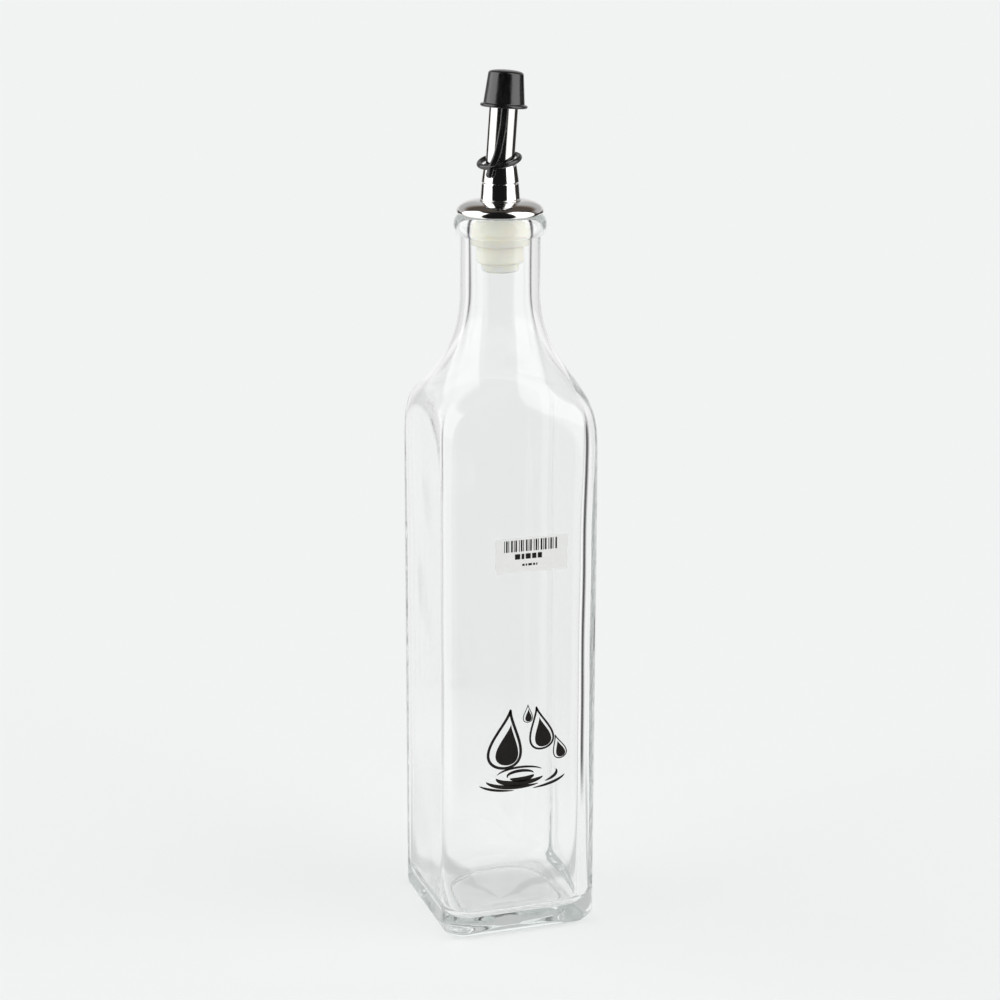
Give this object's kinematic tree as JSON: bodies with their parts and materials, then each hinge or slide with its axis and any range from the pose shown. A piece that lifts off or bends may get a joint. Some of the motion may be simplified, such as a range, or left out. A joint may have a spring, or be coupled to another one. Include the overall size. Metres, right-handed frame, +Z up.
{
  "type": "oil dispenser bottle",
  "caption": "Tall square clear glass bottle with a round neck, a domed steel pour spout and a black rubber cap on a strap.",
  "frame": {"origin": "middle of the base, on the surface the bottle stands on", "axes": "+Z up along the bottle, -Y out of the face with the print and the sticker, +X to its right"},
  "size_m": [0.06, 0.0602, 0.3192],
  "materials": {
    "glass": "clear moulded glass, faintly grey-green where thick",
    "stopper_plastic": "translucent off-white polyethylene",
    "polished_steel": "polished stainless steel",
    "black_rubber": "satin black rubber",
    "sticker_paper": "white coated paper, printed black"
  },
  "bodies": {
    "root": {"bottle_glass": "glass", "pour_stopper": "stopper_plastic", "dome_flange": "polished_steel", "spout_collar": "polished_steel", "spout_sleeve": "polished_steel", "spout_tube": "polished_steel", "pour_cap": "black_rubber", "shelf_sticker": "sticker_paper"}
  },
  "joints": []
}
